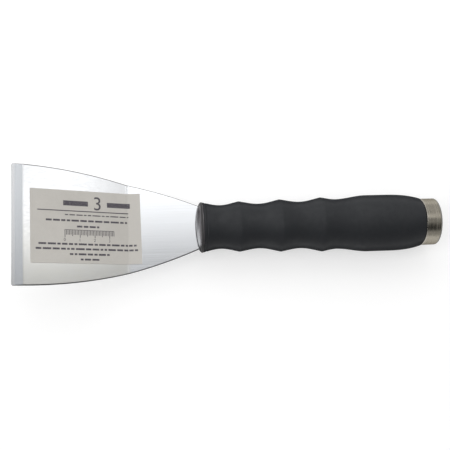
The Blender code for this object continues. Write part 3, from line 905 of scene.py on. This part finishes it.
def domeRings(slotY, slotZ):
    # The front face: rings spread in straight lines from the slot's outline to the rim's oval,
    # on an ellipsoid, X = rim - rise * sqrt(1 - y^2 - z^2) with y and z as shares of the rim's
    # halves. Round the slot the face dips in, deepest at the blade and by less in a straight line.
    shape = coreShape
    rimWidth, rimDepth = rimHalves
    turn = roundTurns(shape["points"])
    close = np.linspace(0, shape["mouthShare"], shape["mouthRings"], endpoint=False)
    crowded = np.sin(np.linspace(np.arcsin(shape["mouthShare"]), np.pi / 2, shape["domeRings"]))
    spread = np.concatenate([close, crowded])[:, None]
    y = slotY + (rimWidth * np.cos(turn) - slotY) * spread
    z = slotZ + (rimDepth * np.sin(turn) - slotZ) * spread
    inside = np.maximum(1 - (y / rimWidth) ** 2 - (z / rimDepth) ** 2, 0)
    away = np.hypot(y - slotY, z - slotZ) / shape["mouthWidth"]
    dip = shape["mouthDepth"] * np.clip(1 - away, 0, 1)
    return np.stack([rimPlace - domeRise * np.sqrt(inside) + dip, y, axisHeight + z], axis=-1)


def makeCore(material):
    # The slot's bottom and walls, the domed face, the land, the hidden part, the stem's socket
    shape = coreShape
    slotHalf = bladeShape["thickness"] / 2 + fitGap
    wide = slotOutline(bladeShape["shoulderWidth"] / 2 + fitGap, slotHalf)
    narrow = slotOutline(bladeShape["tangWidth"] / 2 + fitGap, slotHalf)

    def level(along, outline):
        place = np.full(shape["points"], rimPlace + along)
        return np.stack([place, outline[0], axisHeight + outline[1]], axis=-1)[None]

    seat = bladeShape["shoulderDepth"] + fitGap
    slot = [level(seat + bladeShape["tangLength"], narrow), level(seat, narrow), level(seat, wide)]
    land = smoothSteps([shape["landStart"], shape["rimLand"] - shape["landRound"], shape["rimLand"]],
                       shape["landSteps"])
    cut = roundedEnd(land, 0.0, shape["rimLand"], 0.0, shape["landRound"])
    landRings = ovalRings(land, *(half - cut for half in rimHalves), shape["points"])
    hidden = smoothSteps([shape["rimLand"] + fitGap * hairShare, gripLength], [shape["hiddenStep"]])
    hiddenRings = ovalRings(hidden, *coreHalves(hidden, 0.0), shape["points"])
    stem, anchor = (ferruleShape[name] / 2 + fitGap for name in ("stemDiameter", "anchorDiameter"))
    stemStart = gripLength - ferruleShape["stemLength"]
    anchorStart = stemStart - ferruleShape["anchorLength"]
    socket = [(gripLength, stem), (stemStart, stem), (stemStart, anchor), (anchorStart, anchor)]
    socketRings = turnedRings(socket, shape["points"])
    rings = np.concatenate([*slot, domeRings(*wide), landRings, hiddenRings, socketRings])
    addPiece("hardCore", gridMesh("hardCore", rings), material, ["handle_core"])


gripRubber = {
    "color": (0.0054, 0.0068, 0.0094),
    "dustColor": (0.013, 0.0152, 0.0185),
    "dustShare": 0.35,
    "rubbed": (38.0, 1.0),  # scale and amount
    "roughness": (0.0, 1.0, 0.65, 0.54),  # from fresh to rubbed
    "edgeRoughness": (0.35, 0.8, 0.0, 0.55),  # added where the surface turns away
    "specular": 0.46,
    "grainScale": 2600.0,
    "grainDepth": (0.00001, 0.7),  # and the strength of the bump
    "scuffMarks": ((90.0, 900.0, 900.0), (0.0, 0.0, 0.5)),  # closeness along each axis, and turn
    "scuffFade": 1.0,
    "scuffReach": (0.72, 0.9, 0.0, 0.5),
}


def rubberLook(tree):
    # Matt moulding: fine pitted grain, rubbed and dusty patches, a few light scuffs
    values = gripRubber
    place = objectPlace(tree)
    grain = useGroup(pitting, place, values["grainScale"])
    rubbed = useGroup(handling, place, *values["rubbed"])
    scuffs = useGroup(toolMarks, mapped(tree, *values["scuffMarks"]), values["scuffFade"])
    dusty, scuffed = times(rubbed, values["dustShare"]), ranged(scuffs, *values["scuffReach"])
    color = layered(values, (dusty, "dustColor"), (scuffed, "dustColor"))
    facing = addNode(tree, "ShaderNodeLayerWeight", {"Blend": 0.5}).outputs["Facing"]
    rough = plus(ranged(rubbed, *values["roughness"]), ranged(facing, *values["edgeRoughness"]))
    return {"Base Color": color, "Roughness": rough, "Normal": bumped(grain, *values["grainDepth"]),
            "Specular IOR Level": values["specular"]}


corePlastic = {
    "color": (0.055, 0.05, 0.054),
    "bloomColor": (0.095, 0.088, 0.094),
    "bloom": (90.0, 0.7),  # scale and amount
    "seamColor": (0.008, 0.0075, 0.008),  # painted shade in the seams at the sleeve and round the blade
    "seamReach": (0.0014, 0.0008),  # from the rim forward: start and full
    "seamEnd": (0.0002, 0.0),  # and where it ends
    "slotReach": (0.005, 0.0015, 0.0, 0.8),  # from the blade's middle
    "cornerReach": (0.0115, 0.014, 0.0, 0.9),  # from the axis
    "seamRoughness": 0.4,
    "roughness": (0.0, 1.0, 0.16, 0.28),  # over the bloom
    "flowScale": 160.0,
    "flowDepth": (0.00012, 0.4),  # and the strength of the bump
}


def plasticLook(tree):
    # Glossy moulding with faint flow waves, a dull bloom, and painted shade at the rim, round the blade and
    # far out across the dome
    values = corePlastic
    place = objectPlace(tree)
    parts = takenApart(place)
    flow = noised(place, values["flowScale"])
    bloom = useGroup(handling, place, *values["bloom"])
    # Painted shade: darker where the core meets the sleeve, near the blade, and more than 11.5 mm across
    # from the axis
    starts, full, thins, ends = (rimPlace - reach for reach in values["seamReach"] + values["seamEnd"])
    xPlace = parts["X"]
    seamShade = times(ranged(xPlace, starts, full), ranged(xPlace, thins, ends, 1.0, 0.0))
    fromBlade = worked("ABSOLUTE", worked("SUBTRACT", parts["Z"], axisHeight))
    fromAxis = worked("ABSOLUTE", parts["Y"])
    for distance, name in ((fromBlade, "slotReach"), (fromAxis, "cornerReach")):
        seamShade = worked("MAXIMUM", seamShade, ranged(distance, *values[name]))
    color = layered(values, (bloom, "bloomColor"), (seamShade, "seamColor"))
    rough = roughened(values, ranged(bloom, *values["roughness"]), (seamShade, "seamRoughness"))
    return {"Base Color": color, "Roughness": rough, "Normal": bumped(flow, *values["flowDepth"])}


makeCore(newMaterial("glossPlastic", plasticLook))
makeGrip(newMaterial("softRubber", rubberLook))


# Ferrule

ferruleNickel = {
    "color": (0.4, 0.372, 0.315),
    "darkColor": (0.29, 0.262, 0.215),
    "darkReach": (0.3, 0.8, 0.35, 0.0),  # its share falls as the rings rise
    "dull": (120.0, 0.8),  # scale and amount
    "dullShare": 0.4,
    "dullRoughness": 0.1,  # added to the roughness, as is the rim's
    "rimColor": (0.36, 0.355, 0.33),  # the rounded rim, dulled by handling
    "rimRoughness": 0.55,
    "rimSoftness": (-0.0001, 0.0002),  # to both sides of the round's start
    "chamferColor": (0.5, 0.47, 0.42),  # painted highlight: a lighter band on the turned edge beside the sleeve
    "chamferReach": 0.0007,
    "chamferSoftness": 0.0002,
    "grazingTint": (0.45, 0.44, 0.42),  # it mirrors less where it turns away
    "roughness": (0.3, 0.75, 0.18, 0.31),  # over the rings
    "ringMarks": ((5200.0, 45.0, 45.0), 1.2),  # closeness along each axis, and fade
    "markDepth": 0.000004,
}


def threadRadius(along, turn):
    # A right-hand thread: the groove's middle lies where along / pitch - turn / 2 pi is a whole
    # number and a half. Its root is flat, and its flanks close in to the crest.
    shape = ferruleShape
    phase = np.mod(along / shape["pitch"] - turn / (2 * np.pi), 1.0)
    away = np.abs(phase - 0.5) * shape["pitch"]
    major, minor = shape["majorDiameter"] / 2, shape["minorDiameter"] / 2
    root = shape["pitch"] * shape["rootShare"] / 2
    return np.clip(major - (away - root) / math.tan(shape["flank"]), minor, major)


def makeFerrule(material):
    # A turned profile outside, then the bore. Its thread runs out over one pitch at the inner end,
    # and a cone opens its mouth.
    shape = ferruleShape
    start, end = gripLength + fitGap, gripLength + fitGap + shape["band"]
    outer = (ferruleHigh.z - ferruleLow.z) / 2
    stem, anchor = shape["stemDiameter"] / 2, shape["anchorDiameter"] / 2
    stemStart = start - shape["stemLength"]
    rimTurn = np.linspace(0, np.pi / 2, shape["rimRings"])[1:]
    rim = np.stack([end - shape["rimRound"] * (1 - np.sin(rimTurn)),
                    outer - shape["rimRound"] * (1 - np.cos(rimTurn))], axis=-1)
    band = smoothSteps([start + shape["chamfer"], end - shape["rimRound"]], [shape["step"]])
    hidden = [(stemStart - shape["anchorLength"], anchor), (stemStart, anchor), (stemStart, stem),
              (start, stem), (start, outer - shape["chamfer"])]
    mouth = shape["majorDiameter"] / 2 + shape["mouthChamfer"]
    crease = shape["creaseGap"]
    face = [(end, outer - shape["rimRound"] - crease), (end, mouth + crease), (end, mouth)]
    profile = np.concatenate([hidden, np.stack([band, np.full(len(band), outer)], -1), rim, face])
    turn = roundTurns(shape["points"])
    minor = shape["minorDiameter"] / 2
    first, last = end - shape["threadSetback"], end - shape["threadLength"]
    along = np.linspace(first, last, shape["threadRings"])[:, None]
    runOut = np.clip((along - last) / shape["pitch"], 0, 1)
    groove = minor + (threadRadius(along - end, turn) - minor) * runOut
    radius = np.maximum(groove, mouth - (end - along))
    bore = ovalRings(along[:, 0], radius, radius, shape["points"])
    bottom = turnedRings([(end - shape["socketLength"], minor)], shape["points"])
    rings = np.concatenate([turnedRings(profile, shape["points"]), bore, bottom])
    addPiece("screwFerrule", gridMesh("screwFerrule", rings), material, ["end_ferrule"])


def nickelLook(tree):
    # Turned metal under a warm satin plate: fine rings round the axis, dull patches, and a painted highlight
    # beside the sleeve
    values = ferruleNickel
    place = objectPlace(tree)
    closeness, fade = values["ringMarks"]
    rings = useGroup(toolMarks, mapped(tree, closeness), fade)
    dull = useGroup(handling, place, *values["dull"])
    xPlace = takenApart(place)["X"]
    rimStart = ferruleHigh.x - ferruleShape["rimRound"]
    onRim = ranged(xPlace, *(rimStart + softness for softness in values["rimSoftness"]))
    # Painted highlight: lighter beside the sleeve
    chamferEnd, soft = gripHigh.x + fitGap + values["chamferReach"], values["chamferSoftness"]
    onChamfer = ranged(xPlace, chamferEnd - soft, chamferEnd + soft, 1.0, 0.0)
    ringed = ranged(rings, *values["darkReach"])
    dulled = times(dull, values["dullShare"])
    color = layered(values, (ringed, "darkColor"), (dulled, "darkColor"),
                    (onChamfer, "chamferColor"), (onRim, "rimColor"))
    rough = roughened(values, ranged(rings, *values["roughness"]), (onRim, "rimRoughness"),
                      (dull, "dullRoughness"))
    return {"Base Color": color, "Roughness": rough, "Normal": bumped(rings, values["markDepth"]),
            "Metallic": 1.0, "Specular Tint": (*values["grazingTint"], 1.0)}


makeFerrule(newMaterial("satinNickel", nickelLook))

for nodeName in ("tang_pin_front", "tang_pin_rear", "ferrule_pin"):
    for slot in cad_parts[nodeName].material_slots:
        slot.material = steel
print("scene: pins finished")


# Studio

studio = {
    "floorColor": (0.52, 0.52, 0.52),
    "floorShade": 0.99,  # of its paper's grain
    "floorGrain": (300.0, 300.0, 300.0),
    "floorRoughness": 0.9,
    "floorSpecular": 0.1,
    "floorGlow": (0.56, 0.85),  # at the object and further out
    "glowReach": (0.4, 2.2),
    "floorReach": 20.0,
    "skyDark": 0.17,  # towards the lower side of the picture
    "skyMiddle": 0.39,
    "darkReach": (-0.36, -0.14),
    "skyBright": 1.66,  # a band above the middle
    "brightReach": (0.118, 0.248),
    "brightEnd": (0.65, 0.73, 1.0, 0.38),  # its share towards +X
    "skyTop": 0.66,  # towards its upper side
    "topReach": (0.35, 0.65),
    "skyHorizon": 1.0,
    "horizonReach": (0.03, 0.15),
    "leftLean": 0.9,  # how far the bright band leans towards -X
    "rightLean": 0.045,  # and towards +X
    # Darker soft spots in the sky: direction, cosines of the outer and inner reach, share kept
    "cards": (((-0.43, 0.54, 0.72), 0.885, 0.955, 0.03), ((0.42, 0.42, 0.8), 0.95, 0.985, 0.5),
              ((0.3, -0.58, 0.76), 0.93, 0.98, 0.25)),
    # Brighter ones: direction, cosines of the outer and inner reach, light added
    "fills": (((0.05, -0.36, 0.93), 0.96, 0.99, 0.8), ((0.5, -0.82, 0.28), 0.955, 0.98, 0.4)),
    # Soft boxes: name, place, what they point at, width, height, radiance
    "lamps": (("softboxAbove", (-0.28, 0.85, 0.9), (0.0, 0.0, 0.0), 1.2, 0.7, 2.2),
              ("softboxLeft", (-0.62, -0.1, 0.78), (0.0, 0.0, 0.02), 0.35, 0.45, 2.4)),
}

# The photograph's viewpoint: it looks at "target" from "distance" away
viewpoint = {
    "target": (-0.00519, 0.0011, 0.0183),
    "distance": 0.5394,
    "yaw": math.radians(7.28),
    "pitch": math.radians(10.64),
    "roll": math.radians(-2.83),
    "lens": 64.78,
    "sensor": 36.0,
    "clip": 0.01,
}

white = (1.0, 1.0, 1.0, 1.0)


def floorLook(tree):
    # Plain paper. The camera and reflections see it glow white, and it keeps the shadow.
    grain = noised(mapped(tree, studio["floorGrain"]))
    dim = [studio["floorShade"] * value for value in studio["floorColor"]]
    rays = addNode(tree, "ShaderNodeLightPath", {}).outputs
    seen = worked("MAXIMUM", rays["Is Camera Ray"], rays["Is Glossy Ray"])
    seen = worked("MAXIMUM", seen, rays["Is Transmission Ray"])
    away = addNode(tree, "ShaderNodeVectorMath", {0: objectPlace(tree)}, operation="LENGTH").outputs["Value"]
    strength = ranged(away, *studio["glowReach"], *studio["floorGlow"])
    return {"Base Color": blended(grain, studio["floorColor"], dim), "Emission Color": white,
            "Emission Strength": times(seen, strength), "Roughness": studio["floorRoughness"],
            "Specular IOR Level": studio["floorSpecular"]}


def makeFloor():
    # One flat square
    corner = studio["floorReach"]
    places = [(-corner, -corner, 0), (corner, -corner, 0), (corner, corner, 0), (-corner, corner, 0)]
    mesh = bpy.data.meshes.new("studioFloor")
    mesh.from_pydata(places, [], [(0, 1, 2, 3)])
    mesh.materials.append(newMaterial("floorPaper", floorLook))
    addObject("studioFloor", mesh)


def makeWorld():
    # A soft sky: dark towards -Y, a bright band past the middle that leans down towards -X, paler
    # towards +Y and round the horizon, with darker cards and brighter fills
    world = bpy.data.worlds.new("studioWorld")
    world.use_nodes = True
    bpy.context.scene.world = world
    tree = world.node_tree
    direction = addNode(tree, "ShaderNodeTexCoord", {}).outputs["Generated"]
    parts = takenApart(direction)

    def near(spot):
        both = {0: direction, 1: spot}
        return addNode(tree, "ShaderNodeVectorMath", both, operation="DOT_PRODUCT").outputs["Value"]

    left = times(worked("MINIMUM", parts["X"], 0.0), -studio["leftLean"])
    right = times(parts["X"], studio["rightLean"])
    height = plus(plus(parts["Y"], left), right)
    lower = ranged(height, *studio["darkReach"], studio["skyDark"], studio["skyMiddle"])
    upper = ranged(height, *studio["brightReach"], 0.0, studio["skyBright"] - studio["skyMiddle"])
    upper = times(upper, ranged(parts["X"], *studio["brightEnd"]))
    topShare = ranged(parts["Y"], *studio["topReach"])
    sky = mixed(topShare, plus(lower, upper), studio["skyTop"])
    for spot, outer, inner, kept in studio["cards"]:
        sky = times(sky, ranged(near(spot), outer, inner, 1.0, kept))
    for spot, outer, inner, glow in studio["fills"]:
        sky = plus(sky, ranged(near(spot), outer, inner, 0.0, glow))
    horizon = ranged(parts["Z"], *studio["horizonReach"], 1.0, 0.0)
    strength = mixed(horizon, sky, studio["skyHorizon"])
    setInputs(tree.nodes["Background"], {"Color": white, "Strength": strength})


def aimed(back, place):
    # A lamp or camera at "place" looking down its own -Z, which points against "back"
    back = back / np.linalg.norm(back)
    right = np.cross((0.0, 1.0, 0.0), back)
    right = right / np.linalg.norm(right)
    matrix = np.eye(4)
    matrix[:3, :3] = np.stack([right, np.cross(back, right), back], axis=1)
    matrix[:3, 3] = place
    return Matrix(matrix.tolist())


def makeLamps():
    # Each lamp's power is radiance * pi * its area
    for name, place, aim, width, height, radiance in studio["lamps"]:
        lamp = bpy.data.lights.new(name, "AREA")
        lamp.shape = "RECTANGLE"
        lamp.size, lamp.size_y = width, height
        lamp.energy = radiance * math.pi * width * height
        addObject(name, lamp).matrix_world = aimed(np.array(place) - np.array(aim), place)


def makeCamera():
    # The camera stands back from its target, turned by the yaw and tipped by the pitch
    yaw, pitch = viewpoint["yaw"], viewpoint["pitch"]
    back = np.array([-math.sin(yaw) * math.cos(pitch), -math.sin(pitch), math.cos(yaw) * math.cos(pitch)])
    place = np.array(viewpoint["target"]) + back * viewpoint["distance"]
    lens = bpy.data.cameras.new("photoCamera")
    lens.lens = viewpoint["lens"]
    lens.sensor_width = viewpoint["sensor"]
    lens.clip_start = viewpoint["clip"]
    camera = addObject("photoCamera", lens)
    camera.matrix_world = aimed(back, place) @ Matrix.Rotation(viewpoint["roll"], 4, "Z")
    bpy.context.scene.camera = camera


makeFloor()
makeWorld()
makeLamps()
makeCamera()
bpy.context.scene.view_settings.view_transform = "Standard"
print("scene: studio ready")
